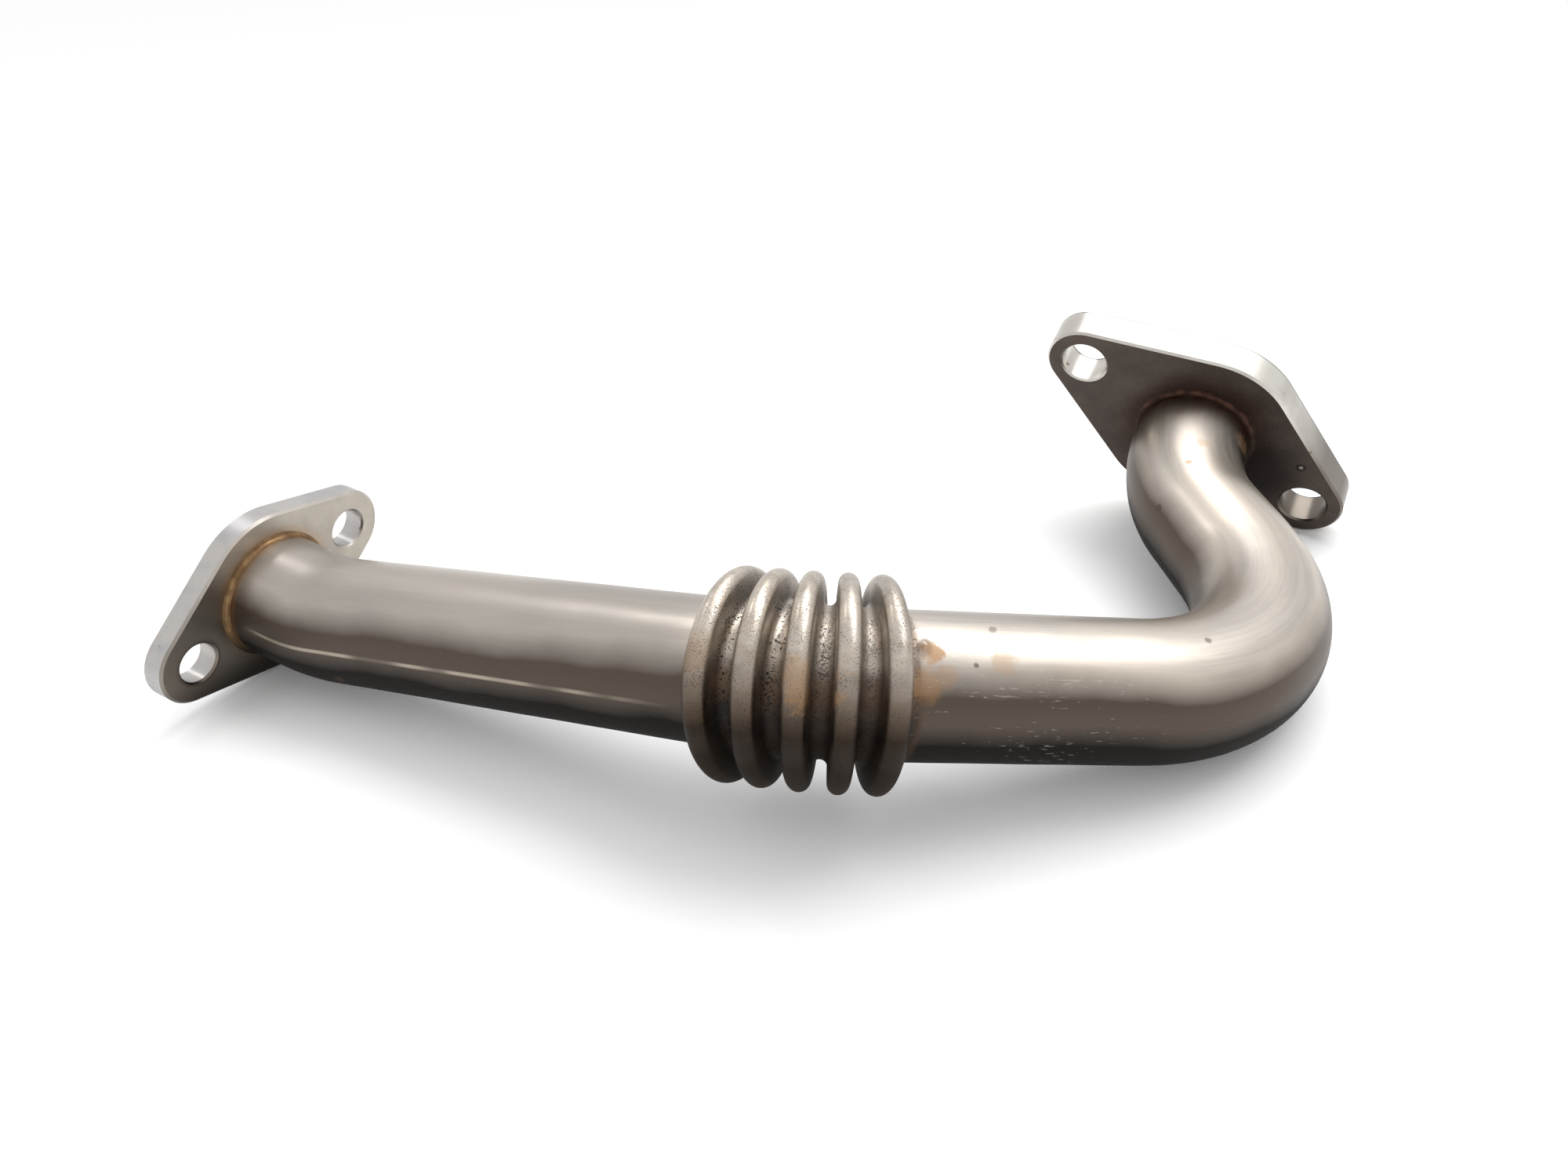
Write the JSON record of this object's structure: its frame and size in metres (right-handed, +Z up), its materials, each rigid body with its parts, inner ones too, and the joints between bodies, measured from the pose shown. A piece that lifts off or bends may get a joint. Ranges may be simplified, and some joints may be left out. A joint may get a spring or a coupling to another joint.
{
  "type": "exhaust gas recirculation pipe",
  "caption": "Bent steel exhaust gas recirculation pipe with a row of formed bellows folds, brazed into a bolted rhombic flange at each end.",
  "frame": {"origin": "centre of the bounding box at its lowest point, on the surface that the pipe lies on", "axes": "+Z up, as the pipe lies on both flanges and its large bend; +X across the view, from the small flange towards the large one; +Y away from the viewer"},
  "size_m": [0.2518, 0.1288, 0.05],
  "materials": {
    "tube_steel": "satin, lightly soiled",
    "flange_steel": "satin, stamped",
    "braze": "heat-tinted"
  },
  "bodies": {
    "root": {"pipe": "tube_steel", "small_flange": "flange_steel", "large_flange": "flange_steel", "small_braze": "braze", "large_braze": "braze"}
  },
  "joints": []
}
